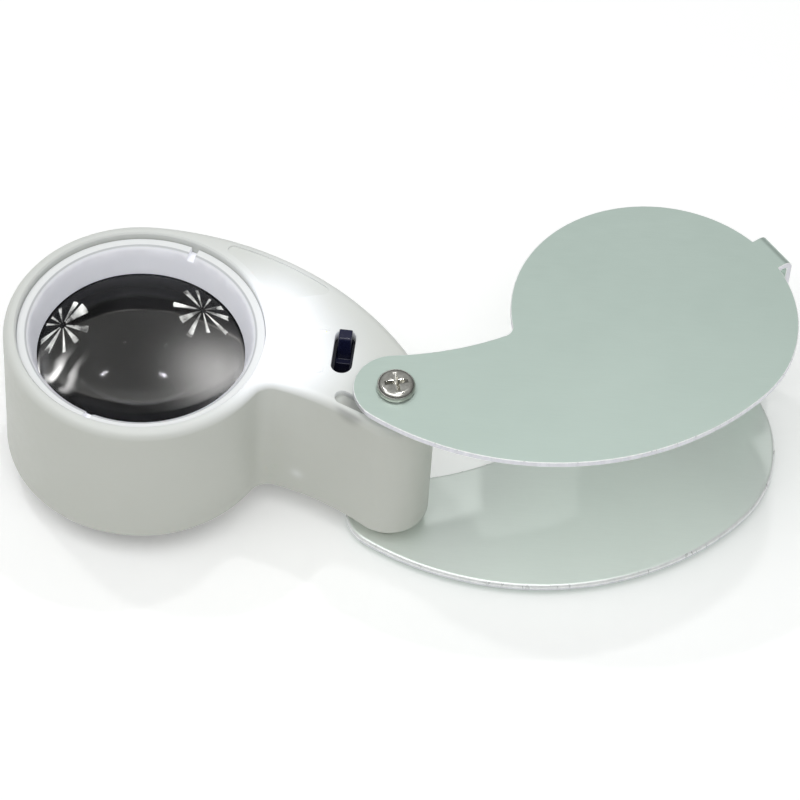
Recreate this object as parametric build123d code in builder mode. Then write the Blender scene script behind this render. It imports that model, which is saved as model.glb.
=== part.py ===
from build123d import *
import os
from math import atan2, cos, degrees, radians, sin, sqrt

os.makedirs("parts", exist_ok=True)

# Folding illuminated hand lens. Millimetres, +Z up.
# The origin is on the optical axis, in the plane of the body's underside. The eye looks down
# from +Z, and +X points from the optical axis to the hinge, about which the metal cover turns.

# ---- driving dimensions ---------------------------------------------------------------------
# outline of the plastic body: a comma, round the lens and tapering to the hinge
housing_r = 18.3
neck_slack = 0.35           # free length between the battery well and the hinge's solid block
body_end_r = 5.45
body_back_r = 43.4          # long convex side
body_waist = 2.75           # least distance from the centre line to the hollow side
body_waist_r = 34.0
body_notch_r = 2.7          # fillet where the hollow side meets the round housing
body_height = 21.9
side_wall = 1.7
top_wall = 1.5
top_edge_r = 1.2
bottom_edge_r = 0.4

# outline of the sheet-metal cover, and how it stands open
lobe_beyond = 1.6           # how far past the optical axis the lobe's centre lies when shut
lobe_overlap = 0.95         # lobe's radius over the housing's
cover_end_r = 5.6
cover_back_r = 40.2
cover_waist = 3.34
cover_waist_r = 42.0
cover_notch_r = 1.6
cover_open_angle = 40.3     # direction of the lobe from the hinge, when open
sheet = 0.9
gap_above = 1.8             # body top to upper leaf
gap_below = 2.5             # body underside to lower leaf
strap_width = 5.6
strap_root = 0.5            # share of the lobe's radius at which the strap starts, inside the leaves
strap_angle = 14.0          # off the cover's centre line, about the lobe's centre
strap_standoff = 2.31       # rim of the lobe to the strap's outer face
bend_r = 1.45               # outside of the strap's bends

# optics
barrel_wall = 1.5
seat_z = 6.6                # shoulder that carries the lower lens
port_step = 1.7             # rim of the lens to the opening on the specimen's side
lens_ledge = 1.0            # flat ring round each lens
lens_edge = 2.0
upper_sag = 3.2
lower_edge = 1.8
lower_sag = 2.4
lens_gap = 6.1              # thickness of the ring between the lenses
ring_drop = 1.04            # rim of the body to the top of the retaining ring
ring_face = 1.7             # width of the retaining ring's top
ring_bevel = 0.55
rim_bevel = 0.25
ring_notch_width = 1.0
ring_notch_depth = 0.9
ring_notch_angle = 84.0

# marks and pockets on the top face
panel_depth = 0.25
panel_inset = 1.2
panel_lens_margin = 0.64    # arc round the lens, inside the housing's radius
panel_low_setback = 6.4     # centre of the lower arc, outside the housing's radius
panel_low_y = 4.74
panel_low_r = 10.0
panel_corner_r = 0.8
pocket_from_hinge = (-4.6, -2.15)
pocket_length = 6.4
pocket_width = 2.1
pocket_angle = -11.0
pocket_depth = 1.0
mark_height = 0.2
mark_size = 1.7
mark_line = 0.45
mark_inset = 3.1            # marks to the slot's centre line
mark_spread = 3.4

# slide switch
switch_setback = 8.8        # round housing to the middle of the slot
switch_angle = 12.0
slot_length = 7.5
slot_width = 2.85
case_length = 9.4
case_width = 4.6
case_height = 3.8
case_wall = 0.6
knob_length = 1.8
knob_width = 1.8
knob_above = 1.2
switch_travel = 4.0
shoe_length = 3.4
shoe_height = 1.6
slide_clearance = 0.12

# lighting
led_r = 1.5
led_flange_r = 1.9
led_flange = 1.0
led_length = 4.0
led_places = (1.9, 7.1)     # offsets from the centre line
led_z = 4.5
led_setback = 1.3           # round housing to the back of the flange
led_dome = 0.95             # share of the lamp's radius that its dome rounds off
lead = 0.45
lead_pitch = 1.27
board_gap = 0.6
board_thickness = 0.8
board_length = 9.4
board_height = 6.8
board_middle = 4.3
board_above_lamps = 0.6
board_to_well = 0.15

# battery and base
base_thickness = 1.5
door_thickness = 0.9
cell_r = 3.95
cell_height = 3.6
cell_count = 3
well_wall = 0.7
cell_start = 2.9
cell_edge = 0.25
well_side = -1.05           # outside of the well, towards the hollow side
contact = 0.4
leaf = 0.25
leaf_reach = 0.75           # share of the cell's radius that the spring leaf spans each way
leaf_ramp = 0.6
leaf_spring = 1.2
tail_lift = 0.3
tail_slot_height = 1.2
door_rim = 0.55
door_screw_angle = 110.5    # direction of the door's screw from the cells
door_screw_gap = 0.9
door_ear_r = 2.2
boss_r = 1.5
door_boss_height = 4.0
base_screw_setback = 2.85   # round housing to the base screw beside it
base_screw_angle = 40.0
near_screw_angle = 30.5     # direction of the other base screw from the cells
near_screw_gap = 0.25
wire_r = 0.35
wire_turn = 0.9
wire_drop = 1.2

# hinge
insert_r = 2.2
insert_length = 8.0
thread_r = 1.22
thread_length = 7.0
shoulder_r = 1.5
hinge_fit = 0.05
hinge_play = 0.05
spacer_r = 3.5
pivot_head_r = 2.55
pivot_head = 1.3

# small screws and assembly clearances
small_screw_r = 0.8
small_screw_length = 5.0
small_head_r = 1.3
small_head = 0.7
cross_width = 0.55
cross_depth = 0.8
cross_span = 1.1            # share of the head's radius
head_round = 0.55           # share of the head's height
knob_edge = 0.3
clearance = 0.1
fine_clearance = 0.03

# ---- places that follow from the sizes above ---------------------------------------------------
bore_r = housing_r - side_wall
barrel_r = bore_r - clearance
lens_r = barrel_r - barrel_wall - clearance
port_r = lens_r - port_step
lens_clear_r = lens_r - lens_ledge
ring_top_r = barrel_r - ring_face
ceiling_z = body_height - top_wall
lower_lens_top = seat_z + lower_edge
upper_seat_z = lower_lens_top + lens_gap
upper_lens_top = upper_seat_z + lens_edge
ring_top_z = body_height - ring_drop
upper_leaf_z = body_height + gap_above
lower_leaf_z = -gap_below - sheet
led_back = housing_r + led_setback
board_x = led_back + board_gap
board_z = led_z + board_above_lamps
tail_end = board_x + board_thickness
well_r = cell_r + clearance
well_outer_r = well_r + well_wall
cell_centre = (tail_end + board_to_well + well_outer_r, well_side + well_outer_r)
well_top = cell_start + cell_count * cell_height
hinge_block_r = body_end_r - side_wall / 2      # solid plastic round the hinge axis
lens_to_hinge = cell_centre[0] + well_outer_r + neck_slack + hinge_block_r
hinge = (lens_to_hinge, 0)
body_plane = Plane(origin=(lens_to_hinge, 0, 0), x_dir=(-1, 0, 0), z_dir=(0, 0, 1))
cover_length = lens_to_hinge + lobe_beyond
cover_lobe_r = housing_r + lobe_overlap
strap_reach = cover_lobe_r + strap_standoff
open_dir = (cos(radians(cover_open_angle)), sin(radians(cover_open_angle)), 0)
cover_plane = Plane(origin=(lens_to_hinge, 0, 0), x_dir=open_dir, z_dir=(0, 0, 1))
door_r = well_r + door_rim
door_screw_reach = well_outer_r + boss_r + door_screw_gap
door_screw_at = (cell_centre[0] + door_screw_reach * cos(radians(door_screw_angle)),
                 cell_centre[1] + door_screw_reach * sin(radians(door_screw_angle)))
base_screw_radius = housing_r + base_screw_setback
near_screw_reach = well_outer_r + boss_r + near_screw_gap
base_screws_at = ((base_screw_radius * cos(radians(base_screw_angle)),
                   base_screw_radius * sin(radians(base_screw_angle))),
                  (cell_centre[0] + near_screw_reach * cos(radians(near_screw_angle)),
                   cell_centre[1] + near_screw_reach * sin(radians(near_screw_angle))))
panel_lens_r = housing_r - panel_lens_margin
panel_low_centre = (housing_r + panel_low_setback, panel_low_y)
pocket_centre = (lens_to_hinge + pocket_from_hinge[0], pocket_from_hinge[1])
switch_radius = housing_r + switch_setback
switch_dir = (cos(radians(switch_angle)), sin(radians(switch_angle)), 0)
switch_mid = (switch_radius * switch_dir[0], switch_radius * switch_dir[1])
case_bottom = ceiling_z - case_height
shoe_bottom = case_bottom + case_wall + slide_clearance
knob_rest = switch_travel / 2
beyond = 2 * (lens_to_hinge + housing_r)          # larger than anything that it trims
UP = (Align.CENTER, Align.CENTER, Align.MIN)
DOWN = (Align.CENTER, Align.CENTER, Align.MAX)


# ---- outline of a comma ------------------------------------------------------------------------
def meeting_point(p, p_r, q, q_r):
    """The left-hand crossing of two circles, looking from p to q."""
    span = sqrt((q[0] - p[0]) ** 2 + (q[1] - p[1]) ** 2)
    along = (span ** 2 + p_r ** 2 - q_r ** 2) / (2 * span)
    aside = sqrt(p_r ** 2 - along ** 2)
    ux, uy = (q[0] - p[0]) / span, (q[1] - p[1]) / span
    return (p[0] + along * ux - aside * uy, p[1] + along * uy + aside * ux)


def heading(p, q):
    return degrees(atan2(q[1] - p[1], q[0] - p[0]))


def comma(plane, length, lobe_r, end_r, back_r, waist, waist_r, notch_r, inset=0.0, height=0.0):
    """Five tangent arcs: back, lobe, notch, waist and end, all moved inwards by inset.

    The end is round the plane's origin, the lobe is length along its x, and the notch side is +y.
    """
    end, lobe = (0, 0), (length, 0)
    back = meeting_point(end, back_r - end_r, lobe, back_r - lobe_r)
    hollow_y = waist + waist_r
    hollow = (sqrt((waist_r + end_r) ** 2 - hollow_y ** 2), hollow_y)
    notch = meeting_point(lobe, lobe_r + notch_r, hollow, waist_r - notch_r)
    to_end, to_lobe = heading(back, end), heading(back, lobe)
    to_notch, from_hollow = heading(lobe, notch), heading(hollow, notch)
    to_waist = heading(hollow, end)
    with BuildSketch(plane.offset(height)) as outline:
        with BuildLine():
            CenterArc(back, back_r - inset, to_end, (to_lobe - to_end) % 360)
            CenterArc(lobe, lobe_r - inset, to_lobe, (to_notch - to_lobe) % 360)
            CenterArc(notch, notch_r + inset, to_notch + 180, -((to_notch + 180 - from_hollow) % 360))
            CenterArc(hollow, waist_r + inset, from_hollow, -((from_hollow - to_waist) % 360))
            CenterArc(end, end_r - inset, to_waist + 180, (to_end - to_waist - 180) % 360)
        make_face()
    return outline.sketch


def body_comma(inset=0.0, height=0.0):
    return comma(body_plane, lens_to_hinge, housing_r, body_end_r, body_back_r, body_waist,
                 body_waist_r, body_notch_r, inset, height)


def cover_comma(height):
    return comma(cover_plane, cover_length, cover_lobe_r, cover_end_r, cover_back_r, cover_waist,
                 cover_waist_r, cover_notch_r, 0.0, height)


def switch_plane(z, along=0.0):
    """x is radial and y runs along the slot, towards the lit end."""
    side = (-switch_dir[1], switch_dir[0])
    origin = (switch_mid[0] + along * side[0], switch_mid[1] + along * side[1], z)
    return Plane(origin=origin, x_dir=switch_dir, z_dir=(0, 0, 1))


def save(name, part):
    part.label = name
    export_step(part, "parts/" + name + ".step")


# ---- plastic body ------------------------------------------------------------------------------
with BuildPart() as body_shell:
    extrude(body_comma(), amount=body_height)
    fillet(body_shell.edges().group_by(Axis.Z)[-1], top_edge_r)
    fillet(body_shell.edges().group_by(Axis.Z)[0], bottom_edge_r)
    # hollow handle: inside the wall, outside the round housing, with a block round the hinge
    with BuildSketch(Plane.XY.offset(base_thickness)):
        add(body_comma(side_wall))
        Circle(housing_r, mode=Mode.SUBTRACT)
        with Locations(hinge):
            Circle(hinge_block_r, mode=Mode.SUBTRACT)
        with Locations(*base_screws_at):
            Circle(boss_r, mode=Mode.SUBTRACT)
    extrude(amount=ceiling_z - base_thickness, mode=Mode.SUBTRACT)
    # seat of the base plate
    with BuildSketch():
        add(body_comma(side_wall))
        with Locations(hinge):
            Circle(hinge_block_r, mode=Mode.SUBTRACT)
    extrude(amount=base_thickness, mode=Mode.SUBTRACT)
    # bore for the optics, with a broken edge at the rim
    Cylinder(bore_r, body_height, align=UP, mode=Mode.SUBTRACT)
    with Locations((0, 0, body_height)):
        Cone(bore_r, bore_r + rim_bevel, rim_bevel, align=DOWN, mode=Mode.SUBTRACT)
    # shallow panel beside the lens
    with BuildSketch(Plane.XY.offset(body_height)) as panel:
        add(body_comma(panel_inset))
        Circle(panel_lens_r, mode=Mode.SUBTRACT)
        with Locations(panel_low_centre):
            Circle(panel_low_r, mode=Mode.SUBTRACT)
            Rectangle(beyond, beyond, align=(Align.CENTER, Align.MAX), mode=Mode.SUBTRACT)
            Rectangle(beyond, beyond, align=(Align.MIN, Align.CENTER), mode=Mode.SUBTRACT)
        fillet(panel.vertices(), panel_corner_r)
    extrude(amount=-panel_depth, mode=Mode.SUBTRACT)
    # slot for the switch knob
    with BuildSketch(switch_plane(ceiling_z)):
        SlotOverall(slot_length, slot_width, rotation=90)
    extrude(amount=top_wall, mode=Mode.SUBTRACT)
    # small pocket beside the hinge
    with BuildSketch(Plane.XY.offset(body_height)):
        with Locations(pocket_centre):
            SlotOverall(pocket_length, pocket_width, rotation=pocket_angle)
    extrude(amount=-pocket_depth, mode=Mode.SUBTRACT)
    # raised line at the lit end of the slot, raised ring at the dark end
    with BuildSketch(switch_plane(body_height)):
        with Locations((-mark_inset, mark_spread)):
            Rectangle(mark_size, mark_line)
        with Locations((-mark_inset, -mark_spread)):
            Circle(mark_size / 2)
            Circle(mark_size / 2 - mark_line, mode=Mode.SUBTRACT)
    extrude(amount=mark_height)
    # room for the battery well beside the hinge block
    with Locations((*cell_centre, base_thickness)):
        Cylinder(well_outer_r + clearance, well_top + contact - base_thickness + clearance, align=UP,
                 mode=Mode.SUBTRACT)
    # seats of the two hinge inserts
    with Locations((*hinge, body_height)):
        Cylinder(insert_r, insert_length, align=DOWN, mode=Mode.SUBTRACT)
    with Locations((*hinge, 0)):
        Cylinder(insert_r, insert_length, align=UP, mode=Mode.SUBTRACT)
    # pilot holes of the base screws with room for their heads, and windows for the lamps
    with Locations(*[(x, y, base_thickness) for x, y in base_screws_at]):
        Cylinder(small_screw_r + fine_clearance, small_screw_length, align=UP, mode=Mode.SUBTRACT)
    with Locations(*[(x, y, 0) for x, y in base_screws_at]):
        Cylinder(small_head_r + clearance, small_head, align=UP, mode=Mode.SUBTRACT)
    with Locations(*[Location((led_back, y, led_z), (0, -90, 0)) for y in led_places]):
        Cylinder(led_r + clearance, led_back, align=UP, mode=Mode.SUBTRACT)
save("body_shell", body_shell.part)

# ---- base plate with the battery well -------------------------------------------------------------
door_dir = (cos(radians(door_screw_angle)), sin(radians(door_screw_angle)), 0)
door_way = Plane(origin=(*cell_centre, 0), x_dir=door_dir, z_dir=(0, 0, 1))


def door_outline(grow):
    with BuildSketch(door_way) as outline:
        Circle(door_r + grow)
        with Locations((door_screw_reach, 0)):
            Circle(door_ear_r + grow)
        make_hull()
    return outline.sketch


with BuildPart() as base_cover:
    with BuildSketch():
        add(body_comma(side_wall + clearance))
        Circle(port_r + barrel_wall + clearance, mode=Mode.SUBTRACT)
        with Locations(hinge):
            Circle(hinge_block_r + clearance, mode=Mode.SUBTRACT)
    extrude(amount=base_thickness)
    with Locations((*cell_centre, base_thickness)):
        Cylinder(well_outer_r, well_top - base_thickness, align=UP)
    with Locations((*door_screw_at, base_thickness)):
        Cylinder(boss_r, door_boss_height, align=UP)
    with Locations((*cell_centre, 0)):
        Cylinder(well_r, well_top, align=UP, mode=Mode.SUBTRACT)
    extrude(door_outline(clearance), amount=door_thickness, mode=Mode.SUBTRACT)
    with Locations((*door_screw_at, door_thickness)):
        Cylinder(small_screw_r + fine_clearance, small_screw_length, align=UP, mode=Mode.SUBTRACT)
    # slot that lets the negative contact's tail out to the lamp board
    with Locations((cell_centre[0] - well_outer_r, cell_centre[1], base_thickness)):
        Box(4 * well_wall, 4 * lead, tail_slot_height, align=UP, mode=Mode.SUBTRACT)
    with Locations(*[(x, y, 0) for x, y in base_screws_at]):
        CounterSinkHole(small_screw_r + clearance, small_head_r + clearance, base_thickness)
save("base_cover", base_cover.part)

with BuildPart() as battery_door:
    extrude(door_outline(0), amount=door_thickness)
    with Locations((*door_screw_at, 0)):
        CounterSinkHole(small_screw_r + clearance, small_head_r + clearance, door_thickness)
save("battery_door", battery_door.part)


# ---- optics ------------------------------------------------------------------------------------
def dome(chord_r, rise, z):
    """Half the section of a spherical cap on the plane at z, which bulges down if rise is negative."""
    centre_z = z + rise / 2 - chord_r ** 2 / (2 * rise)
    ball_r = abs(z + rise - centre_z)
    middle = atan2(chord_r, z - centre_z) / 2 if rise > 0 else atan2(chord_r, centre_z - z) / 2
    side = 1 if rise > 0 else -1
    with BuildSketch(Plane.XZ) as section:
        with BuildLine():
            Polyline((0, z + rise), (0, z), (chord_r, z))
            ThreePointArc((chord_r, z), (ball_r * sin(middle), centre_z + side * ball_r * cos(middle)),
                          (0, z + rise))
        make_face()
    return section.sketch


def screw(origin, points_up, head_r, head_height, body_r, length, neck_r=0.0, neck=0.0, sunk=False):
    """A cross-headed screw, whose head stands on the origin and whose shank runs the other way."""
    z_dir = (0, 0, 1 if points_up else -1)
    with BuildPart(Plane(origin=origin, x_dir=(1, 0, 0), z_dir=z_dir)) as made:
        if sunk:
            Cone(body_r, head_r, head_height, align=UP)
        else:
            Cylinder(head_r, head_height, align=UP)
            fillet(made.edges().sort_by(Axis((0, 0, 0), z_dir))[-1], head_round * head_height)
        if neck:
            Cylinder(neck_r, neck, align=DOWN)
        Cylinder(body_r, neck + length, align=DOWN)
        with Locations((0, 0, head_height)):
            for turn in (0, 90):
                Box(cross_span * head_r, cross_width, 2 * cross_depth * head_height / pivot_head,
                    rotation=(0, 0, turn), mode=Mode.SUBTRACT)
    return made.part


with BuildPart() as lens_barrel:
    with Locations((0, 0, base_thickness)):
        Cylinder(barrel_r, upper_lens_top - base_thickness, align=UP)
    Cylinder(port_r + barrel_wall, base_thickness, align=UP)
    with Locations((0, 0, seat_z)):
        Cylinder(lens_r + clearance, upper_lens_top - seat_z, align=UP, mode=Mode.SUBTRACT)
    Cylinder(port_r, seat_z, align=UP, mode=Mode.SUBTRACT)
    with Locations(*[Location((led_back, y, led_z), (0, -90, 0)) for y in led_places]):
        Cylinder(led_r + clearance, led_back, align=UP, mode=Mode.SUBTRACT)
save("lens_barrel", lens_barrel.part)

with BuildPart() as lower_lens:
    with Locations((0, 0, seat_z)):
        Cylinder(lens_r, lower_edge, align=UP)
    revolve(dome(lens_clear_r, lower_sag, lower_lens_top), axis=Axis.Z)
save("lower_lens", lower_lens.part)

with BuildPart() as lens_spacer:
    with Locations((0, 0, lower_lens_top)):
        Cylinder(lens_r, lens_gap, align=UP)
        Cylinder(lens_clear_r, lens_gap, align=UP, mode=Mode.SUBTRACT)
save("lens_spacer", lens_spacer.part)

with BuildPart() as upper_lens:
    with Locations((0, 0, upper_seat_z)):
        Cylinder(lens_r, lens_edge, align=UP)
    revolve(dome(lens_clear_r, upper_sag, upper_lens_top), axis=Axis.Z)
    revolve(dome(lens_clear_r, -upper_sag, upper_seat_z), axis=Axis.Z)
save("upper_lens", upper_lens.part)

with BuildPart() as retaining_ring:
    with BuildSketch(Plane.XZ):
        with BuildLine():
            Polyline((lens_clear_r, upper_lens_top), (barrel_r, upper_lens_top), (barrel_r, ring_top_z),
                     (ring_top_r + ring_bevel, ring_top_z), (ring_top_r, ring_top_z - ring_bevel),
                     close=True)
        make_face()
    revolve(axis=Axis.Z)
    with Locations((0, 0, ring_top_z)):
        Box(4 * barrel_r, ring_notch_width, 2 * ring_notch_depth, rotation=(0, 0, ring_notch_angle),
            mode=Mode.SUBTRACT)
save("retaining_ring", retaining_ring.part)

# ---- lamps and their board -----------------------------------------------------------------------
for name, led_y in zip(("led_near", "led_far"), led_places):
    back = Plane(origin=(led_back, led_y, led_z), x_dir=(0, 1, 0), z_dir=(-1, 0, 0))
    with BuildPart(back) as led:
        Cylinder(led_flange_r, led_flange, align=UP)
        Cylinder(led_r, led_flange + led_length, align=UP)
        fillet(led.edges().sort_by(Axis((0, 0, 0), (-1, 0, 0)))[-1], led_dome * led_r)
        with Locations((-lead_pitch, 0, 0), (lead_pitch, 0, 0)):
            Box(lead, lead, board_gap, align=DOWN)
    save(name, led.part)

with BuildPart() as led_board:
    with Locations((board_x, board_middle, board_z)):
        Box(board_thickness, board_length, board_height, align=(Align.MIN, Align.CENTER, Align.CENTER))
save("led_board", led_board.part)

# ---- slide switch --------------------------------------------------------------------------------
with BuildPart(switch_plane(case_bottom)) as switch_case:
    Box(case_width, case_length, case_height, align=UP)
    with Locations((0, 0, case_wall)):
        Box(case_width - 2 * case_wall, case_length - 2 * case_wall, case_height - 2 * case_wall,
            align=UP, mode=Mode.SUBTRACT)
    Box(knob_width + 2 * slide_clearance, knob_length + switch_travel + 2 * slide_clearance,
        2 * case_height, align=UP, mode=Mode.SUBTRACT)
    Box(case_width, case_length, case_wall, align=UP)
save("switch_case", switch_case.part)

with BuildPart(switch_plane(shoe_bottom, knob_rest)) as switch_lever:
    Box(case_width - 2 * case_wall - 2 * slide_clearance, shoe_length, shoe_height, align=UP)
    Box(knob_width, knob_length, body_height + knob_above - shoe_bottom, align=UP)
    fillet(switch_lever.edges().group_by(Axis.Z)[-1], knob_edge)
save("switch_lever", switch_lever.part)

# ---- battery and contacts -------------------------------------------------------------------------
for index in range(cell_count):
    with BuildPart(Plane(origin=(*cell_centre, cell_start + index * cell_height))) as cell:
        Cylinder(cell_r, cell_height, align=UP)
        fillet(cell.edges(), cell_edge)
    save("cell_" + str(index + 1), cell.part)

with BuildPart() as positive_contact:
    with Locations((*cell_centre, well_top)):
        Cylinder(cell_r, contact, align=UP)
save("positive_contact", positive_contact.part)

# bent strip: flat on the door, up to the lowest cell and back down, with a tail to the lamp board
strip_left = cell_centre[0] - leaf_reach * cell_r
strip_right = cell_centre[0] + leaf_reach * cell_r
tail_z = base_thickness + tail_lift
flat_z = door_thickness + leaf / 2
with BuildPart() as negative_contact:
    with BuildSketch(Plane.XZ.offset(-cell_centre[1])):
        with BuildLine() as path:
            Polyline((tail_end, tail_z), (strip_left, tail_z), (strip_left + leaf_ramp, flat_z),
                     (strip_right - leaf_spring, flat_z), (strip_right, cell_start - leaf),
                     (strip_right - 2 * leaf_spring, cell_start - leaf / 2))
        trace(line_width=leaf)
    extrude(amount=lead, both=True)
save("negative_contact", negative_contact.part)

led_wire_x = board_x + board_thickness / 2
led_wire_start = switch_mid[0] - case_width / 3
with BuildPart() as led_wire:
    with BuildLine() as route:
        FilletPolyline((led_wire_start, switch_mid[1], case_bottom),
                       (led_wire_start, switch_mid[1], case_bottom - wire_drop),
                       (led_wire_x, switch_mid[1], case_bottom - wire_drop),
                       (led_wire_x, switch_mid[1], board_z + board_height / 2), radius=wire_turn)
    with BuildSketch(Plane(origin=route.line @ 0, z_dir=route.line % 0)):
        Circle(wire_r)
    sweep()
save("led_wire", led_wire.part)

with BuildPart() as battery_wire:
    with Locations((switch_mid[0], cell_centre[1], well_top + contact)):
        Cylinder(wire_r, case_bottom - well_top - contact, align=UP)
save("battery_wire", battery_wire.part)

# ---- small screws ----------------------------------------------------------------------------------
door_screw = screw((*door_screw_at, small_head), False, small_head_r, small_head, small_screw_r,
                   door_boss_height)
save("door_screw", door_screw)
base_screws = Compound(children=[
    screw((x, y, small_head), False, small_head_r, small_head, small_screw_r, small_screw_length,
          sunk=True) for x, y in base_screws_at])
save("base_screws", base_screws)

# ---- hinge -------------------------------------------------------------------------------------------
for name, low_z in (("lower_insert", 0), ("upper_insert", body_height - insert_length)):
    with BuildPart(Plane(origin=(*hinge, low_z))) as insert:
        Cylinder(insert_r, insert_length, align=UP)
        Cylinder(thread_r + fine_clearance, insert_length, align=UP, mode=Mode.SUBTRACT)
    save(name, insert.part)

for name, low_z, height in (("lower_spacer", hinge_play - gap_below, gap_below - hinge_play),
                            ("upper_spacer", body_height, gap_above - hinge_play)):
    with BuildPart(Plane(origin=(*hinge, low_z))) as spacer:
        Cylinder(spacer_r, height, align=UP)
        Cylinder(shoulder_r + fine_clearance, height, align=UP, mode=Mode.SUBTRACT)
    save(name, spacer.part)

upper_pivot_screw = screw((*hinge, upper_leaf_z + sheet + hinge_play), True, pivot_head_r, pivot_head,
                          thread_r, thread_length, shoulder_r, gap_above + sheet + hinge_play)
save("upper_pivot_screw", upper_pivot_screw)
lower_pivot_screw = screw((*hinge, lower_leaf_z - hinge_play), False, pivot_head_r, pivot_head,
                          thread_r, thread_length, shoulder_r, gap_below + sheet + hinge_play)
save("lower_pivot_screw", lower_pivot_screw)

# ---- cover: one bent sheet, with two leaves and a strap ------------------------------------------------
lobe_x = lens_to_hinge + cover_length * open_dir[0]
lobe_y = cover_length * open_dir[1]
strap_heading = radians(cover_open_angle + strap_angle)
strap_plane = Plane(origin=(lobe_x, lobe_y, 0), x_dir=(cos(strap_heading), sin(strap_heading), 0),
                    z_dir=(sin(strap_heading), -cos(strap_heading), 0))
strap_start = strap_root * cover_lobe_r
cover_top = upper_leaf_z + sheet
with BuildPart() as cover:
    extrude(cover_comma(upper_leaf_z), amount=sheet)
    extrude(cover_comma(lower_leaf_z), amount=sheet)
    with BuildSketch(strap_plane) as bent:
        with BuildLine():
            FilletPolyline((strap_start, cover_top), (strap_reach, cover_top),
                           (strap_reach, lower_leaf_z), (strap_start, lower_leaf_z), radius=bend_r)
            Polyline((strap_start, lower_leaf_z), (strap_start, lower_leaf_z + sheet))
            FilletPolyline((strap_start, lower_leaf_z + sheet), (strap_reach - sheet, lower_leaf_z + sheet),
                           (strap_reach - sheet, upper_leaf_z), (strap_start, upper_leaf_z),
                           radius=bend_r - sheet)
            Polyline((strap_start, upper_leaf_z), (strap_start, cover_top))
        make_face()
    extrude(amount=strap_width / 2, both=True)
    with Locations((*hinge, lower_leaf_z)):
        Cylinder(shoulder_r + hinge_fit, cover_top - lower_leaf_z, align=UP, mode=Mode.SUBTRACT)
save("cover", cover.part)
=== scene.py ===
import math
import random

import bmesh
import bpy
from mathutils import Matrix, Vector, noise

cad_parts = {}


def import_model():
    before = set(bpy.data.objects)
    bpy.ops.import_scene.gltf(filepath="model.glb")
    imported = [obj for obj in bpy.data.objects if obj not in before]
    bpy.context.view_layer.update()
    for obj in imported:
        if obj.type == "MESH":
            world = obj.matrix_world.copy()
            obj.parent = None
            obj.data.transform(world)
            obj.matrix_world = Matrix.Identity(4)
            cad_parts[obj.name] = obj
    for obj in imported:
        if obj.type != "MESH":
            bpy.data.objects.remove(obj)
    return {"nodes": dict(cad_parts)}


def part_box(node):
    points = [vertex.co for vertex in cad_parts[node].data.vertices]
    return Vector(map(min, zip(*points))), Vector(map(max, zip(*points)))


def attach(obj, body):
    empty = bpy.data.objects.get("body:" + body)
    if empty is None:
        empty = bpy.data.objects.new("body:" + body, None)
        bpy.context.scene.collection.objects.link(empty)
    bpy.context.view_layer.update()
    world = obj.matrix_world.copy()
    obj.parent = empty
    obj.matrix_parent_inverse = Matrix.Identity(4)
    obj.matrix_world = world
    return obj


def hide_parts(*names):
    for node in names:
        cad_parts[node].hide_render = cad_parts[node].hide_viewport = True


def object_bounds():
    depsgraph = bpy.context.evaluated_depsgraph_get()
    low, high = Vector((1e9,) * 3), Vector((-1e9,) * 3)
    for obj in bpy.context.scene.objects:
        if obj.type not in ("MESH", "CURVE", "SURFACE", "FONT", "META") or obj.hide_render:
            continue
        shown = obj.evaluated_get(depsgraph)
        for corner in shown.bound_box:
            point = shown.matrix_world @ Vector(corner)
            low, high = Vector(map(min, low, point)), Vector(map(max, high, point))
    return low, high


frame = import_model()
cad_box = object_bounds()

# Folding illuminated hand lens. The origin is on the optical axis at the body's underside, +Z is
# towards the eye, and +X runs from the optical axis to the hinge. All lengths are in metres.
MM = 0.001
BODY = "loupe_body"
COVER = "cover"
LEVER = "switch_lever"

hinge_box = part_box("upper_spacer")
hinge = (hinge_box[0] + hinge_box[1]) / 2
ring_low, ring_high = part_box("retaining_ring")
spacer_low, spacer_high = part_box("lens_spacer")
top_z = hinge_box[0].z
lens_clear_r = 13.9 * MM

# the pocket beside the pivot, whose floor the white finish darkens with painted shade
pocket = Vector((hinge.x - 4.6 * MM, hinge.y - 2.15 * MM, top_z))
# radius of the painted groove shadow on the ring
ring_groove_r = ring_high.x - 1.15 * MM

# where the lamps show through the top of the shell: middle, reach and strength of each glow
lamp_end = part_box("led_near")[1].x
glow_heart = Vector((lamp_end - 1.5 * MM, 2.3 * MM, top_z))
glow_panel = Vector((lamp_end - 5.5 * MM, 10.4 * MM, top_z))
GLOWS = (
    (Vector((0, 0, top_z)), 24 * MM, 0.38),
    (glow_heart, 40 * MM, 0.12),
    (glow_heart, 15 * MM, 0.15),
    (glow_heart, 10.5 * MM, 0.50),
    (glow_panel, 8 * MM, 0.40),
)
# one more glow, a spot low on the hollow side
SPOT = (Vector((lamp_end + 3.2 * MM, -2.4 * MM, 4.2 * MM)), 1.1 * MM, 0.16)
# pools of their light on the lower lens: heading in degrees, distance from the axis, reach,
# strength, and whether the pool is broken into streaks
POOLS = (
    (26, 9.8 * MM, 7.0 * MM, 0.50, False),
    (8, 12.2 * MM, 1.5 * MM, 1.2, False),
    (-12, 11.8 * MM, 1.8 * MM, 9.0, True),
    (196, 11.4 * MM, 3.2 * MM, 10.0, True),
    (228, 10.6 * MM, 1.8 * MM, 8.0, True),
)


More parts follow.
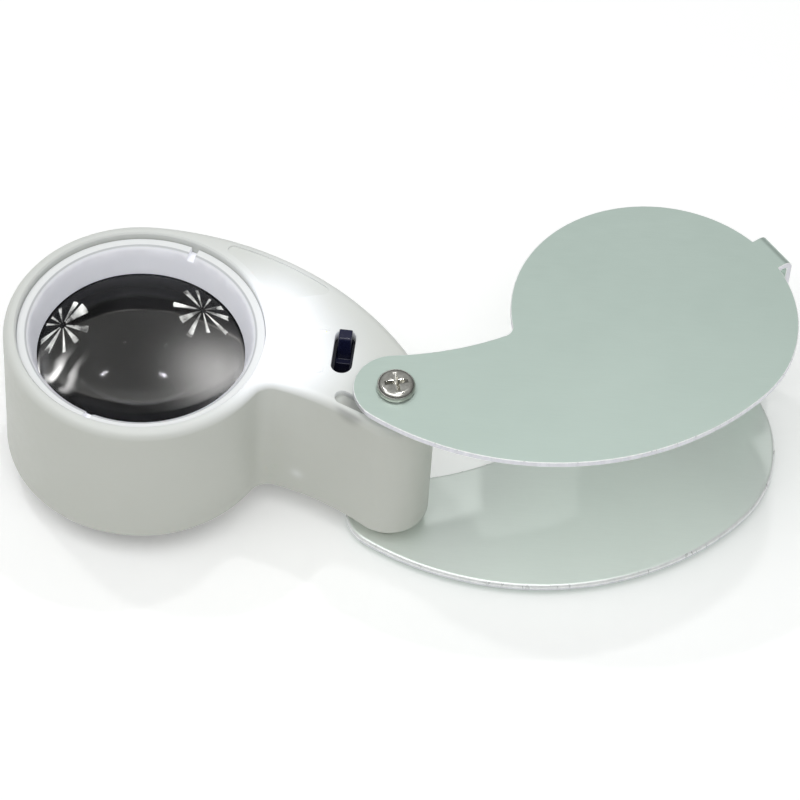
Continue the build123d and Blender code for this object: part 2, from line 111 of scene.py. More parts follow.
# ---- node materials -------------------------------------------------------------------------
class Finish:
    """A material with one Principled shader, whose sockets are driven by patterns in object space."""

    def __init__(self, name, **constants):
        self.material = bpy.data.materials.new(name)
        self.material.use_nodes = True
        self.tree = self.material.node_tree
        self.shader = self.tree.nodes["Principled BSDF"]
        for socket, value in constants.items():
            self.shader.inputs[socket.replace("_", " ")].default_value = value
        self.place = self.add("ShaderNodeTexCoord").outputs["Object"]

    def add(self, kind, **settings):
        node = self.tree.nodes.new(kind)
        for key, value in settings.items():
            setattr(node, key, value)
        return node

    def feed(self, node, **values):
        """Sets or links a node's inputs by name, and returns the node."""
        for key, value in values.items():
            socket = node.inputs[int(key[1:]) if key[1:].isdigit() else key.replace("_", " ")]
            if isinstance(value, bpy.types.NodeSocket):
                self.tree.links.new(value, socket)
            else:
                socket.default_value = value
        return node

    def drive(self, socket, value):
        self.tree.links.new(value, self.shader.inputs[socket])

    def stretched(self, scale=(1, 1, 1), turn=0.0):
        """Object coordinates, turned about Z and then scaled."""
        turned = self.feed(self.add("ShaderNodeVectorRotate", rotation_type="Z_AXIS"),
                           Vector=self.place, Angle=turn)
        scaled = self.add("ShaderNodeVectorMath", operation="MULTIPLY")
        return self.feed(scaled, i0=turned.outputs[0], i1=scale).outputs[0]

    def noise(self, scale, detail=3.0, rough=0.5, place=None, distortion=0.0):
        node = self.feed(self.add("ShaderNodeTexNoise"), Vector=place or self.place, Scale=scale,
                         Detail=detail, Roughness=rough, Distortion=distortion)
        return node.outputs["Fac"]

    def remap(self, value, low, high, to_low, to_high):
        node = self.feed(self.add("ShaderNodeMapRange"), Value=value, From_Min=low, From_Max=high,
                         To_Min=to_low, To_Max=to_high)
        return node.outputs[0]

    def blend(self, factor, first, second):
        node = self.add("ShaderNodeMix", data_type="RGBA")
        self.feed(node, i0=factor, i6=(*first, 1) if isinstance(first, tuple) else first,
                  i7=(*second, 1) if isinstance(second, tuple) else second)
        return node.outputs[2]

    def math(self, operation, first, second=0.0):
        return self.feed(self.add("ShaderNodeMath", operation=operation), i0=first, i1=second).outputs[0]

    def bump(self, height, strength, depth):
        node = self.feed(self.add("ShaderNodeBump"), Height=height, Strength=strength, Distance=depth)
        self.drive("Normal", node.outputs[0])

    def height(self):
        return self.feed(self.add("ShaderNodeSeparateXYZ"), i0=self.place).outputs["Z"]

    def near(self, point, reach, sharp=1.0):
        """1 at a point in the row frame, falling smoothly to nearly 0 at a reach from it."""
        apart = self.feed(self.add("ShaderNodeVectorMath", operation="DISTANCE"), i0=self.place, i1=point)
        share = self.math("DIVIDE", apart.outputs["Value"], reach)
        square = self.math("POWER", share, 2.0 * sharp)
        return self.math("EXPONENT", self.math("MULTIPLY", square, -2.0))


def moulded(name, light, dark, rough=0.4, glow=None, hollow=None, tone=None):
    """Moulded plastic: fine spark-eroded grain, faint flow marks, and a duller skin in patches.
    Painted shade darkens the floor of the hollow, and a tone changes the colour by place."""
    made = Finish(name, IOR=1.47, Subsurface_Weight=0.12, Subsurface_Scale=2 * MM)
    made.shader.inputs["Subsurface Radius"].default_value = (1.0, 0.9, 0.8)
    flow = made.noise(70, 2.0, 0.5, distortion=0.4)
    colour = made.blend(made.remap(flow, 0.35, 0.65, 0, 1), dark, light)
    if hollow is not None:
        # painted shade: the pocket's floor is darkened where shade falls in the recess
        painted_shade = tuple(0.55 * c for c in dark)
        deep = made.remap(made.height(), hollow.z - 0.5 * MM, hollow.z - 0.15 * MM, 1.0, 0.0)
        shade_mask = made.math("MULTIPLY", deep, made.near(hollow, 3.0 * MM, sharp=3.0))
        colour = made.blend(shade_mask, colour, painted_shade)
    if tone is not None:
        colour = tone(made, colour)
    made.drive("Base Color", colour)
    skin = made.noise(900, 4.0, 0.6)
    made.drive("Roughness", made.remap(skin, 0.3, 0.7, rough - 0.05, rough + 0.07))
    made.bump(made.noise(9000, 2.0, 0.6), 0.25, 0.012 * MM)
    if glow:
        glow(made)
    return made.material


def ring_tone(made, colour):
    """The ring's flat top is coloured darker than its cone, and a painted groove shadow runs round beside
    the bevel.
    """
    flat_top_colour = (0.69, 0.70, 0.68)
    shadow = (0.38, 0.39, 0.38)
    flat = made.remap(made.height(), ring_high.z - 0.3 * MM, ring_high.z - 0.1 * MM, 0.0, 1.0)
    colour = made.blend(flat, colour, flat_top_colour)
    level = made.feed(made.add("ShaderNodeVectorMath", operation="MULTIPLY"), i0=made.place, i1=(1, 1, 0))
    radius = made.feed(made.add("ShaderNodeVectorMath", operation="LENGTH"), i0=level.outputs[0])
    aside = made.math("ABSOLUTE", made.math("SUBTRACT", radius.outputs["Value"], ring_groove_r))
    # painted shade: a thin dark line round the ring, standing in for the shadow in a fine groove
    groove_shadow = made.remap(aside, 0.06 * MM, 0.18 * MM, 1.0, 0.0)
    return made.blend(made.math("MULTIPLY", groove_shadow, flat), colour, shadow)


def lamp_glow(made, everywhere=0.0, depth=1.3 * MM):
    """The lamps light the shell from inside, most near its top, and down to a depth under it."""
    # painted glow: emission on the shell stands in for the lamps' light shining through it
    shine = None
    for heart, reach, strength in GLOWS:
        part = made.math("MULTIPLY", made.near(heart, reach), strength)
        shine = made.math("ADD", shine, part) if shine else part
    rise = made.remap(made.height(), top_z - depth, top_z - 0.05 * MM, 0.08, 1.0)
    top = made.math("MULTIPLY", shine, rise)
    heart, reach, strength = SPOT
    spot = made.math("MULTIPLY", made.near(heart, reach), strength)
    total = made.math("ADD", made.math("ADD", top, spot), everywhere)
    made.shader.inputs["Emission Color"].default_value = (0.86, 0.88, 1.0, 1)
    made.drive("Emission Strength", total)


def brushed(name, light, dark, rough, turn, metallic=0.7):
    """Rolled sheet with a fine grain one way and faint clouds in it."""
    made = Finish(name, Metallic=metallic)
    lines = made.noise(1.0, 4.0, 0.65, place=made.stretched((260, 9000, 900), turn))
    clouds = made.noise(55, 3.0, 0.55)
    tone = made.math("ADD", made.math("MULTIPLY", lines, 0.55), made.math("MULTIPLY", clouds, 0.45))
    made.drive("Base Color", made.blend(made.remap(tone, 0.35, 0.65, 0, 1), dark, light))
    made.drive("Roughness", made.remap(lines, 0.3, 0.7, rough - 0.06, rough + 0.07))
    made.bump(lines, 0.16, 0.01 * MM)
    return made.material


def cut_edge(name, light, dark, rough=0.3, metallic=1.0):
    """Sheared or filed edge: bright metal with coarse tool marks."""
    made = Finish(name, Metallic=metallic)
    marks = made.noise(1.0, 3.0, 0.6, place=made.stretched((900, 900, 250)))
    made.drive("Base Color", made.blend(made.remap(marks, 0.3, 0.7, 0, 1), dark, light))
    made.drive("Roughness", made.remap(marks, 0.3, 0.7, rough - 0.05, rough + 0.1))
    made.bump(made.noise(3600, 3.0, 0.6), 0.2, 0.02 * MM)
    return made.material


def plated(name, light, dark, rough):
    """Plated or turned metal: smooth, with faint handling marks and grime in patches."""
    made = Finish(name, Metallic=1.0)
    stains = made.noise(700, 4.0, 0.6)
    made.drive("Base Color", made.blend(made.remap(stains, 0.35, 0.7, 0, 1), light, dark))
    fine = made.noise(1.0, 3.0, 0.6, place=made.stretched((5000, 900, 5000), 0.6))
    made.drive("Roughness", made.remap(fine, 0.3, 0.7, rough - 0.05, rough + 0.09))
    made.bump(made.noise(4200, 3.0, 0.5), 0.12, 0.01 * MM)
    return made.material


def dark_plastic(name, light, dark, rough, ribs=0.0, shine=0.5, foot=None):
    """Black moulding, with turned ribs across the optical axis where ribs isn't 0, and a rim at
    the height of its foot that catches the light from below."""
    made = Finish(name, IOR=1.5, Specular_IOR_Level=shine)
    made.drive("Base Color", made.blend(made.noise(400, 3.0, 0.5), dark, light))
    made.drive("Roughness", made.remap(made.noise(1500, 3.0, 0.6), 0.3, 0.7, rough - 0.06, rough + 0.08))
    grain = made.noise(6000, 3.0, 0.6)
    if ribs:
        bands = made.feed(made.add("ShaderNodeTexWave", bands_direction="Z", wave_profile="TRI"),
                          Vector=made.place, Scale=ribs, Distortion=0.3)
        grain = made.math("ADD", made.math("MULTIPLY", grain, 0.3), bands.outputs["Fac"])
    made.bump(grain, 0.3, 0.02 * MM)
    if foot is not None:
        # painted highlight: emission in a broken line just above the foot, for the light from below
        made.shader.inputs["Emission Color"].default_value = (1.0, 0.98, 0.95, 1)
        line = made.remap(made.height(), foot + 0.15 * MM, foot + 0.4 * MM, 3.5, 0.0)
        above_rim = made.remap(made.height(), foot + 0.02 * MM, foot + 0.08 * MM, 0.0, 1.0)
        broken = made.remap(made.noise(110, 2.0), 0.46, 0.62, 0.0, 1.0)
        lit = made.math("MULTIPLY", line, above_rim)
        made.drive("Emission Strength", made.math("MULTIPLY", lit, broken))
    return made.material


def clear(name, tint, ior, rough=0.0, emission=0.0, mirror=1.0):
    """Glass or clear resin, with faint wipe marks. A coated face mirrors less than a bare one.
    Returns the Finish, so that light can be added to it."""
    made = Finish(name, IOR=ior, Transmission_Weight=1.0)
    made.shader.inputs["Specular Tint"].default_value = (mirror, mirror, 1.1 * mirror, 1)
    smears = made.noise(1.0, 4.0, 0.6, place=made.stretched((160, 700, 160), 0.5))
    wiped = tuple(0.985 * c for c in tint)
    made.drive("Base Color", made.blend(smears, tint, wiped))
    made.drive("Roughness", made.remap(smears, 0.5, 0.8, rough + 0.035, rough + 0.05))
    if emission:
        made.shader.inputs["Emission Color"].default_value = (0.88, 0.93, 1.0, 1)
        made.shader.inputs["Emission Strength"].default_value = emission
    return made


def lamp_pools(made):
    """The lamps' light, gathered into bright pools on the lower lens."""
    # painted light: emission on the lens stands in for the lamps' light gathered on it
    made.shader.inputs["Emission Color"].default_value = (1.0, 0.99, 0.98, 1)
    field_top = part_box("lower_lens")[1].z
    ripple = made.feed(made.add("ShaderNodeTexWave", wave_type="RINGS", rings_direction="Z"),
                       Vector=made.place, Scale=150.0, Distortion=7.0, Detail=2.0, Detail_Scale=1.2)
    streaks = made.remap(ripple.outputs["Fac"], 0.35, 0.95, 0.02, 1.0)
    faint = 0.001
    total = faint
    for heading, out, reach, strength, streaked in POOLS:
        way = math.radians(heading)
        heart = (out * math.cos(way), out * math.sin(way), field_top)
        pool = made.math("MULTIPLY", made.near(heart, reach), strength)
        total = made.math("ADD", total, made.math("MULTIPLY", pool, streaks) if streaked else pool)
    made.drive("Emission Strength", total)


def circuit_board():
    """Green solder mask over copper traces."""
    made = Finish("circuit_board_finish", IOR=1.5, Coat_Weight=0.5)
    traces = made.feed(made.add("ShaderNodeTexBrick"), Vector=made.stretched((900, 900, 900)), Scale=1.0)
    mask = made.blend(traces.outputs["Fac"], (0.012, 0.10, 0.035), (0.03, 0.19, 0.06))
    made.drive("Base Color", mask)
    made.drive("Roughness", made.remap(made.noise(2500), 0.3, 0.7, 0.3, 0.45))
    made.bump(traces.outputs["Fac"], 0.3, 0.02 * MM)
    return made.material


def facets():
    """Polished facets, with painted glints: they glow in streaks."""
    made = Finish("painted_glint_finish", Metallic=1.0)
    streaks = made.noise(420, 3.0, 0.6)
    made.drive("Base Color", made.blend(streaks, (0.4, 0.4, 0.4), (0.9, 0.9, 0.88)))
    made.drive("Roughness", made.remap(streaks, 0.3, 0.7, 0.2, 0.4))
    # painted glints: emission in streaks stands in for the lamps' reflections
    made.shader.inputs["Emission Color"].default_value = (0.97, 0.98, 0.96, 1)
    made.drive("Emission Strength", made.remap(streaks, 0.36, 0.68, 0.02, 0.9))
    return made.material


BRUSH_TURN = math.radians(-15)
GLASS_IOR = 1.36
white = moulded("white_body_finish", (0.575, 0.59, 0.54), (0.56, 0.575, 0.525), glow=lamp_glow,
                hollow=pocket)
base_white = moulded("white_base_finish", (0.57, 0.58, 0.55), (0.55, 0.56, 0.53), rough=0.46)
ring_white = moulded("white_ring_finish", (0.86, 0.86, 0.885), (0.83, 0.83, 0.865), rough=0.33,
                     glow=lambda made: lamp_glow(made, everywhere=0.17, depth=0.75 * MM), tone=ring_tone)
barrel_black = dark_plastic("barrel_finish", (0.005, 0.005, 0.009), (0.003, 0.003, 0.005), 0.5, ribs=900,
                            shine=0.03, foot=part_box("lens_barrel")[0].z)
switch_black = dark_plastic("switch_finish", (0.010, 0.011, 0.022), (0.006, 0.006, 0.012), 0.3)
knob_black = dark_plastic("knob_finish", (0.012, 0.014, 0.05), (0.008, 0.009, 0.03), 0.22)
eye_glass = clear("eye_glass_finish", (0.84, 0.84, 0.84), GLASS_IOR, rough=0.03, mirror=0.15)
# painted shade: the lower lens is tinted dark, standing in for the shade on the floor seen through it
field_glass = clear("field_glass_finish", (0.122, 0.12, 0.118), GLASS_IOR, mirror=0.2)
lamp_pools(field_glass)
epoxy = clear("led_epoxy_finish", (0.95, 0.96, 1.0), 1.5, rough=0.2, emission=40.0)
sheet_metal = brushed("cover_finish", (0.60, 0.708, 0.652), (0.56, 0.668, 0.612), 0.42, BRUSH_TURN)
# painted light: the leaves' inner faces get a lighter, less metallic copy of the sheet's finish, to offset
# the shade between the leaves
sheet_inner_lightened = brushed("cover_inner_lightened_finish", (0.86, 0.92, 0.88), (0.82, 0.88, 0.84), 0.36, BRUSH_TURN,
                      metallic=0.45)
sheet_edge = cut_edge("cover_edge_finish", (0.74, 0.74, 0.78), (0.60, 0.60, 0.64), rough=0.4)
burr = cut_edge("cover_burr_finish", (0.97, 0.98, 0.98), (0.80, 0.82, 0.82), rough=0.3, metallic=0.3)
nickel = plated("screw_nickel_finish", (0.68, 0.67, 0.63), (0.40, 0.39, 0.36), 0.17)
brass = plated("insert_brass_finish", (0.78, 0.60, 0.30), (0.55, 0.40, 0.18), 0.28)
steel = plated("cell_steel_finish", (0.72, 0.72, 0.71), (0.52, 0.52, 0.52), 0.24)
spring_metal = plated("contact_metal_finish", (0.76, 0.72, 0.58), (0.55, 0.50, 0.38), 0.25)
nylon = moulded("spacer_nylon_finish", (0.80, 0.79, 0.73), (0.74, 0.73, 0.67), rough=0.45)
insulation = moulded("wire_insulation_finish", (0.45, 0.03, 0.03), (0.36, 0.02, 0.02), rough=0.35)
board_green = circuit_board()
painted_glint = facets()

# finishes of the CAD nodes that are shown as they are
CAD_FINISH = {
    "switch_case": switch_black, "led_board": board_green, "lower_insert": brass,
    "upper_insert": brass, "lower_spacer": nylon, "upper_spacer": nylon, "cell_1": steel,
    "cell_2": steel, "cell_3": steel, "positive_contact": spring_metal,
    "negative_contact": spring_metal, "led_wire": insulation, "battery_wire": insulation,
    "base_screws": nickel,
}


# ---- mesh work ------------------------------------------------------------------------------
def new_piece(name, mesh, body, slot, replaced, *materials):
    """Puts a finished mesh in the scene, on its body, in place of the CAD nodes it stands for."""
    mesh.name = name
    mesh.materials.clear()
    for material in materials:
        mesh.materials.append(material)
    piece = bpy.data.objects.new(name, mesh)
    bpy.context.scene.collection.objects.link(piece)
    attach(piece, body)
    if replaced:
        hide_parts(*replaced)
    return piece


def shade(mesh, angle=32.0):
    mesh.polygons.foreach_set("use_smooth", [True] * len(mesh.polygons))
    mesh.set_sharp_from_angle(angle=math.radians(angle))


def weigh_normals(piece):
    """Flat faces stay flat beside their rounded edges."""
    modifier = piece.modifiers.new("weighted", "WEIGHTED_NORMAL")
    modifier.keep_sharp = True
    return piece


def welded(node):
    """A CAD node's mesh as one welded surface whose flat faces are whole."""
    made = bmesh.new()
    made.from_mesh(frame["nodes"][node].data)
    bmesh.ops.remove_doubles(made, verts=made.verts, dist=0.002 * MM)
    bmesh.ops.dissolve_limit(made, angle_limit=math.radians(0.4), verts=made.verts, edges=made.edges)
    return made


def sharp_edges(made, least=35.0, keep=lambda edge: True):
    found = []
    for edge in made.edges:
        if len(edge.link_faces) == 2 and edge.calc_face_angle(0) > math.radians(least) and keep(edge):
            found.append(edge)
    return found


def soften(made, edges, radius, segments=3, clamp=True):
    """Rounds edges, and returns the new faces."""
    return bmesh.ops.bevel(made, geom=edges, offset=radius, segments=segments, profile=0.5,
                           affect="EDGES", clamp_overlap=clamp)["faces"]


def softened(node, name, radius, body, slot, material):
    """The CAD node's shape with its sharp edges rounded, as a moulded or worn piece has them."""
    made = welded(node)
    soften(made, sharp_edges(made), radius)
    mesh = bpy.data.meshes.new(name)
    made.to_mesh(mesh)
    made.free()
    shade(mesh)
    return weigh_normals(new_piece(name, mesh, body, slot, [node], material))


def lathe(profile, steps=128):
    """A bmesh turned about Z from (radius, z) points, which start and end on the axis."""
    made = bmesh.new()
    rings = []
    for radius, z in profile:
        if radius < 1e-9:
            rings.append([made.verts.new((0, 0, z))])
        else:
            turn = [2 * math.pi * step / steps for step in range(steps)]
            rings.append([made.verts.new((radius * math.cos(a), radius * math.sin(a), z)) for a in turn])
    for first, second in zip(rings, rings[1:]):
        for step in range(steps):
            after = (step + 1) % steps
            corners = [first[step % len(first)], first[after % len(first)],
                       second[after % len(second)], second[step % len(second)]]
            kept = [v for i, v in enumerate(corners) if v not in corners[:i]]
            made.faces.new(kept)
    bmesh.ops.recalc_face_normals(made, faces=made.faces)
    return made


def arc_points(chord_r, edge_z, apex_z, steps=28):
    """From the rim of a spherical surface to its apex on the axis."""
    rise = apex_z - edge_z
    ball_r = (chord_r ** 2 + rise ** 2) / (2 * abs(rise))
    centre = apex_z - math.copysign(ball_r, rise)
    widest = math.asin(chord_r / ball_r)
    points = []
    for step in range(steps + 1):
        a = widest * (1 - step / steps)
        points.append((ball_r * math.sin(a), centre + math.copysign(ball_r * math.cos(a), rise)))
    return points


# ---- plastic body, ring and base ---------------------------------------------------------------
softened("body_shell", "shell", 0.14 * MM, BODY, "white_body", white)
softened("retaining_ring", "lens_ring", 0.12 * MM, BODY, "white_ring", ring_white)
softened("base_cover", "base_plate", 0.08 * MM, BODY, "white_base", base_white)
softened("battery_door", "cell_door", 0.1 * MM, BODY, "white_base", base_white)
softened("lens_barrel", "barrel", 0.08 * MM, BODY, "black_barrel", barrel_black)
softened("lens_spacer", "barrel_spacer", 0.08 * MM, BODY, "black_barrel", barrel_black)
softened("switch_lever", "switch_knob", 0.1 * MM, LEVER, "switch_knob", knob_black)


# ---- lenses and lamps ----------------------------------------------------------------------------
def lens(node, name, upper_edge, lower_edge, glass):
    """A lens whose two faces are true spherical caps, or flat where the apex is level with its edge."""
    low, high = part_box(node)
    flattest = 0.1 * MM
    profile = [(0.0, low.z)]
    if lower_edge - low.z > flattest:
        profile = arc_points(lens_clear_r, lower_edge, low.z)[::-1]
    profile += [(high.x, lower_edge), (high.x, upper_edge)]
    profile += arc_points(lens_clear_r, upper_edge, high.z)
    made = lathe(profile)
    mesh = bpy.data.meshes.new(name)
    made.to_mesh(mesh)
    made.free()
    shade(mesh)
    return new_piece(name, mesh, BODY, "lens_glass", [node], glass)


lens("upper_lens", "eye_lens", ring_low.z, spacer_high.z, eye_glass.material)
lens("lower_lens", "field_lens", spacer_low.z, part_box("lower_lens")[0].z, field_glass.material)


def light_fan(name, heading, turn, seed, wide_petal=None):
    """Polished facets that spread from one point beside the spacer's wall, with the lamps' glints painted on
    them as a glow.
    """
    pick = random.Random(seed)
    centre_r = lens_clear_r - 2.2 * MM
    centre_z = spacer_low.z + 3.6 * MM
    reach = 4.4 * MM
    wall_gap = 0.2 * MM
    crown = 0.14 * MM
    foil = 0.04 * MM
    wide_spread = 0.22
    slope = math.radians(34)
    outward = Vector((math.cos(heading), math.sin(heading), 0))
    aside = Vector((-math.sin(heading), math.cos(heading), 0))
    upward = outward * math.cos(slope) + Vector((0, 0, math.sin(slope)))
    facing = aside.cross(upward) * -1
    heart = outward * centre_r + Vector((0, 0, centre_z))
    made = bmesh.new()
    petals = 10
    for petal in range(petals):
        a = turn + 2 * math.pi * (petal + pick.uniform(-0.2, 0.2)) / petals
        room = (lens_clear_r - wall_gap - centre_r) / math.cos(slope) / max(math.sin(a), 0.1)
        length = min(reach * pick.uniform(0.7, 1.0), room)
        spread = wide_spread if petal == wide_petal else pick.uniform(0.06, 0.14)
        along_way = math.cos(a) * aside + math.sin(a) * upward
        across_way = -math.sin(a) * aside + math.cos(a) * upward
        rows = []
        for share in (0.14, 0.4, 0.7, 1.0):
            along = share * length
            row = []
            for side_step, lift in ((-1, 0.0), (0, crown * share), (1, 0.0)):
                where = heart + along_way * along + across_way * side_step * spread * along
                row.append(made.verts.new(where + facing * lift))
            rows.append(row)
        for first, second in zip(rows, rows[1:]):
            for step in range(2):
                made.faces.new((first[step], first[step + 1], second[step + 1], second[step]))
    bmesh.ops.solidify(made, geom=made.faces[:], thickness=foil)
    mesh = bpy.data.meshes.new(name)
    made.to_mesh(mesh)
    made.free()
    return new_piece(name, mesh, BODY, "lens_glass", None, painted_glint)


light_fan("painted_glints_left", math.radians(165), turn=0.3, seed=3, wide_petal=5)
light_fan("painted_glints_right", math.radians(71), turn=0.9, seed=8)


def lamp(node, name):
    """A clear domed lamp lying along X, with its flange at the back."""
    low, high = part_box(node)
    flange_r = (high.y - low.y) / 2
    flange = 1 * MM
    dome_r = flange_r - 0.4 * MM
    dome_rise = 1.4 * MM
    length = 5.0 * MM
    profile = [(0, 0), (flange_r, 0), (flange_r, flange), (dome_r, flange)]
    profile += arc_points(dome_r, length - dome_rise, length, steps=12)
    made = lathe(profile, steps=48)
    middle = (low + high) / 2
    back = high.x - 0.6 * MM
    made.transform(Matrix.Translation((back, middle.y, middle.z)) @ Matrix.Rotation(-math.pi / 2, 4, "Y"))
    mesh = bpy.data.meshes.new(name)
    made.to_mesh(mesh)
    made.free()
    shade(mesh)
    return new_piece(name, mesh, BODY, "led_epoxy", [node], epoxy.material)


lamp("led_near", "lamp_near")
lamp("led_far", "lamp_far")


# ---- screws ---------------------------------------------------------------------------------------
def cross_cutter(span, width, depth):
    """The tool that leaves a cross recess: four wings that narrow with depth."""
    made = bmesh.new()
    taper = 0.55
    levels = ((0.6, 1.12), (0.0, 1.0), (-0.7, taper), (-1.0, taper * 0.55))
    half = width / span
    outline = []
    for quarter in range(4):
        a = quarter * math.pi / 2
        for x, y in ((half, -half), (1.0, -half), (1.0, half)):
            outline.append((x * math.cos(a) - y * math.sin(a), x * math.sin(a) + y * math.cos(a)))
    rings = []
    for level, scale in levels:
        rings.append([made.verts.new((x * scale * span / 2, y * scale * span / 2, level * depth))
                      for x, y in outline])
    for first, second in zip(rings, rings[1:]):
        for step in range(len(outline)):
            after = (step + 1) % len(outline)
            made.faces.new((first[step], first[after], second[after], second[step]))
    made.faces.new(rings[0])
    made.faces.new(rings[-1][::-1])
    bmesh.ops.recalc_face_normals(made, faces=made.faces)
    return made


def cut(mesh, cutter):
    """Subtracts the cutter from a mesh and returns the result."""
    tool = bpy.data.meshes.new("tool")
    cutter.to_mesh(tool)
    cutter.free()
    block = bpy.data.objects.new("block", mesh)
    blade = bpy.data.objects.new("blade", tool)
    for thing in (block, blade):
        bpy.context.scene.collection.objects.link(thing)
    modifier = block.modifiers.new("cut", "BOOLEAN")
    modifier.operation = "DIFFERENCE"
    modifier.object = blade
    result = bpy.data.meshes.new_from_object(block.evaluated_get(bpy.context.evaluated_depsgraph_get()))
    for thing in (block, blade):
        bpy.data.objects.remove(thing)
    return result


def screw(node, name, head_r, head, shank_r, faces_up):
    """A cross-headed screw. Its head's flat side is at z 0, and its shank runs down from there."""
    low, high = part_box(node)
    middle = (low + high) / 2
    length = high.z - low.z - head
    tip = 0.3 * MM
    round_r = head * 0.6
    arc_steps = 8
    profile = [(0, head), (head_r * 0.5, head * 0.985)]
    for step in range(arc_steps + 1):
        a = math.pi / 2 * step / arc_steps
        profile.append((head_r - round_r + round_r * math.sin(a), head - round_r + round_r * math.cos(a)))
    profile += [(head_r, 0.12 * head), (head_r - 0.08 * MM, 0), (shank_r, 0)]
    profile += [(shank_r, -length + tip), (shank_r - tip, -length), (0, -length)]
    made = lathe(profile, steps=64)
    mesh = bpy.data.meshes.new(name)
    made.to_mesh(mesh)
    made.free()
    driven = math.radians(28)
    cutter = cross_cutter(span=head_r * 1.22, width=head_r * 0.24, depth=head * 0.85)
    cutter.transform(Matrix.Translation((0, 0, head)) @ Matrix.Rotation(driven, 4, "Z"))
    mesh = cut(mesh, cutter)
    made = bmesh.new()
    made.from_mesh(mesh)
    edges = sharp_edges(made, 40, lambda e: max(v.co.z for v in e.verts) > head * 0.2)
    soften(made, edges, 0.05 * MM, segments=2)
    seat = high.z - head if faces_up else low.z + head
    flip = Matrix.Identity(4) if faces_up else Matrix.Rotation(math.pi, 4, "X")
    made.transform(Matrix.Translation((middle.x, middle.y, seat)) @ flip)
    made.to_mesh(mesh)
    made.free()
    shade(mesh, 40)
    return new_piece(name, mesh, BODY, "screw_nickel", [node], nickel)


PIVOT_SCREW = {"head_r": 2.55 * MM, "head": 1.3 * MM, "shank_r": 1.22 * MM}
DOOR_SCREW = {"head_r": 1.3 * MM, "head": 0.7 * MM, "shank_r": 0.8 * MM}
screw("upper_pivot_screw", "pivot_screw_top", **PIVOT_SCREW, faces_up=True)
screw("lower_pivot_screw", "pivot_screw_base", **PIVOT_SCREW, faces_up=False)
screw("door_screw", "cell_door_screw", **DOOR_SCREW, faces_up=False)


# ---- cover ----------------------------------------------------------------------------------------
# picks the pattern of the file's marks
FILE_SEED = 3


def sheet_cover():
    """The bent sheet, with a sheared edge all round and a coarse filed bevel inside the lower leaf."""
    low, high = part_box("cover")
    outside, cut_wall, burred, inside = range(4)
    sheet = 0.9 * MM
    filed_bevel = 0.55 * MM
    burr_bevel = 0.1 * MM
    file_marks = 2400
    mark_depth = 0.035 * MM
    hinge_hole = 3 * MM
    slack = 0.05 * MM
    made = welded("cover")
    bmesh.ops.dissolve_degenerate(made, dist=slack, edges=made.edges)
    lower_inner_z = low.z + sheet
    upper_inner_z = high.z - sheet
    filed = sharp_edges(made, 60, lambda e: all(abs(v.co.z - lower_inner_z) < slack for v in e.verts)
                        and (e.verts[0].co - hinge).xy.length > hinge_hole)
    filed_faces = soften(made, filed, filed_bevel, clamp=False)
    for face in made.faces:
        face.material_index = outside
    for face in filed_faces:
        face.material_index = burred
    noise.seed_set(FILE_SEED)
    for vert in {v for f in filed_faces for v in f.verts}:
        rough = noise.noise_vector(vert.co * file_marks) * mark_depth
        vert.co += Vector((rough.x, rough.y, min(0.0, rough.z)))
    edges = sharp_edges(made, 40, lambda e: all(f.material_index == outside for f in e.link_faces))
    for face in soften(made, edges, burr_bevel, segments=2, clamp=False):
        face.material_index = burred
    for face in made.faces:
        # the strap's faces have a long smooth edge, and the cut wall's have none
        smooth = [e for e in face.edges if len(e.link_faces) == 2 and e.calc_face_angle(0) < 0.2]
        upright = abs(face.normal.z) < 0.3 and face.material_index == outside
        if upright and not any(e.calc_length() > 4 * MM for e in smooth):
            face.material_index = cut_wall
        # the inner faces of both leaves take the lightened finish, painted light against the shade between
        # them
        middle = face.calc_center_median().z
        in_lower = face.normal.z > 0.9 and abs(middle - lower_inner_z) < slack
        in_upper = face.normal.z < -0.9 and abs(middle - upper_inner_z) < slack
        if in_lower or in_upper:
            face.material_index = inside
    mesh = bpy.data.meshes.new("cover_sheet")
    made.to_mesh(mesh)
    made.free()
    shade(mesh)
    kept = [p.material_index for p in mesh.polygons]
    piece = new_piece("cover_sheet", mesh, COVER, "cover_aluminium", ["cover"],
                      sheet_metal, sheet_edge, burr, sheet_inner_lightened)
    mesh.polygons.foreach_set("material_index", kept)
    return weigh_normals(piece)


sheet_cover()

for node, finish in CAD_FINISH.items():
    mesh = frame["nodes"][node].data
    mesh.materials.clear()
    mesh.materials.append(finish)


# ---- floor, light and camera ---------------------------------------------------------------------
def floor():
    half_side = 2.0
    made = bmesh.new()
    bmesh.ops.create_grid(made, x_segments=8, y_segments=8, size=half_side)
    mesh = bpy.data.meshes.new("floor")
    made.to_mesh(mesh)
    made.free()
    paper = Finish("floor_finish", Roughness=0.9, Specular_IOR_Level=0.1)
    mottle = paper.noise(30, 2.0)
    paper.drive("Base Color", paper.blend(mottle, (0.955, 0.955, 0.955), (0.965, 0.965, 0.965)))
    paper.shader.inputs["Emission Color"].default_value = (1, 1, 1, 1)
    paper.shader.inputs["Emission Strength"].default_value = 0.16
    mesh.materials.append(paper.material)
    piece = bpy.data.objects.new("floor", mesh)
    piece.location = (hinge.x, 0, cad_box[0].z - 0.02 * MM)
    bpy.context.scene.collection.objects.link(piece)


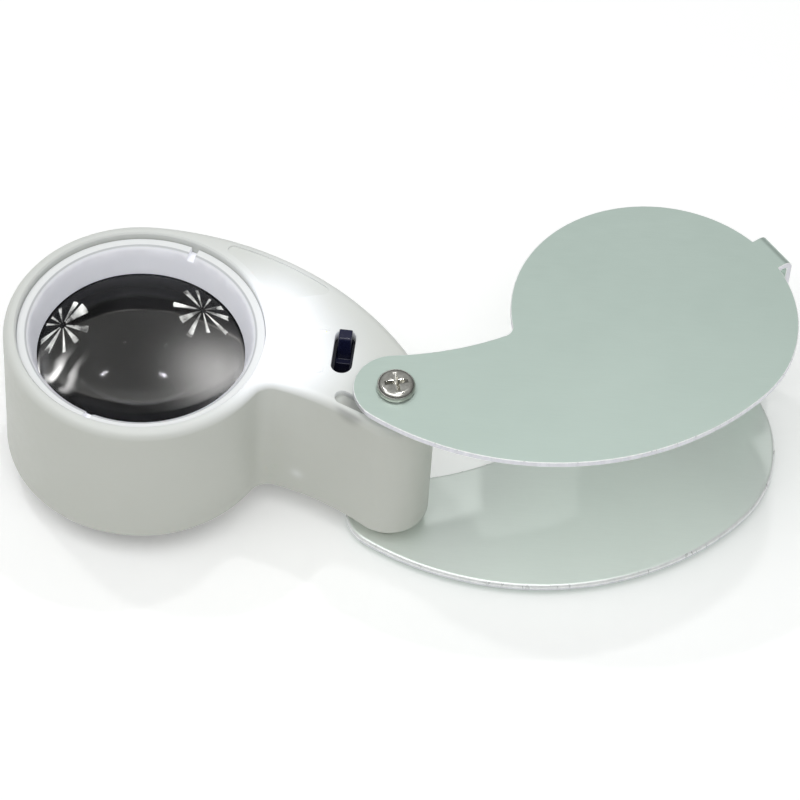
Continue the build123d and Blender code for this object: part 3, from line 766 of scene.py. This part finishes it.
def world():
    """Soft light from all round, brightest overhead."""
    made = bpy.data.worlds.new("studio")
    made.use_nodes = True
    bpy.context.scene.world = made
    tree = made.node_tree
    background = tree.nodes["Background"]
    background.inputs["Color"].default_value = (0.98, 1.0, 0.985, 1)
    place = tree.nodes.new("ShaderNodeTexCoord")
    split = tree.nodes.new("ShaderNodeSeparateXYZ")
    ramp = tree.nodes.new("ShaderNodeMapRange")
    ramp.interpolation_type = "SMOOTHSTEP"
    at_floor, overhead = 0.06, 0.50
    for socket, value in (("From Min", -0.1), ("From Max", 1.0), ("To Min", at_floor), ("To Max", overhead)):
        ramp.inputs[socket].default_value = value
    tree.links.new(place.outputs["Generated"], split.inputs[0])
    tree.links.new(split.outputs["Z"], ramp.inputs["Value"])
    tree.links.new(ramp.outputs[0], background.inputs["Strength"])


def softbox(name, direction, distance, width, depth, radiance):
    """A rectangular lamp that looks at the lens, from a distance in the given direction."""
    data = bpy.data.lights.new(name, "AREA")
    data.shape = "RECTANGLE"
    data.size = width
    data.size_y = depth
    data.energy = radiance * math.pi * width * depth
    lamp_object = bpy.data.objects.new(name, data)
    towards = Vector(direction).normalized()
    lamp_object.location = Vector((0, 0, top_z)) + towards * distance
    lamp_object.rotation_euler = towards.to_track_quat("Z", "Y").to_euler()
    bpy.context.scene.collection.objects.link(lamp_object)


CAMERA_AZIMUTH = math.radians(15.2)
CAMERA_ELEVATION = math.radians(51.28)
CAMERA_ROLL = math.radians(4.18)
CAMERA_DISTANCE = 573.4 * MM
CAMERA_LENS = 185.3
CAMERA_AIM = Vector((30.84, 19.98, -3.4)) * MM
camera_turn = Matrix.Rotation(CAMERA_AZIMUTH, 3, "Z")


def camera():
    """Looks along +Y, turned by the azimuth, and tipped by the roll as the picture is."""
    right = camera_turn @ Vector((1, 0, 0))
    forward = camera_turn @ Vector((0, math.cos(CAMERA_ELEVATION), -math.sin(CAMERA_ELEVATION)))
    up = right.cross(forward)
    tipped = math.cos(CAMERA_ROLL) * right + math.sin(CAMERA_ROLL) * up
    upward = tipped.cross(-forward) * -1
    data = bpy.data.cameras.new("camera")
    data.lens = CAMERA_LENS
    data.sensor_width = 36
    data.clip_start = 0.01
    data.clip_end = 10
    seen = bpy.data.objects.new("camera", data)
    axes = Matrix((tipped, upward, -forward)).transposed()
    seen.matrix_world = Matrix.Translation(CAMERA_AIM - forward * CAMERA_DISTANCE) @ axes.to_4x4()
    bpy.context.scene.collection.objects.link(seen)
    bpy.context.scene.camera = seen


floor()
world()
for name, across in (("glint_left", -0.35), ("glint_right", 0.15)):
    softbox(name, camera_turn @ Vector((across, 0.34, 1.0)), distance=0.7, width=0.04, depth=0.018,
            radiance=190)
softbox("key", camera_turn @ Vector((-0.12, -0.36, 1.0)), distance=0.9, width=1.1, depth=0.55, radiance=2.3)
camera()
bpy.context.scene.view_settings.view_transform = "Standard"
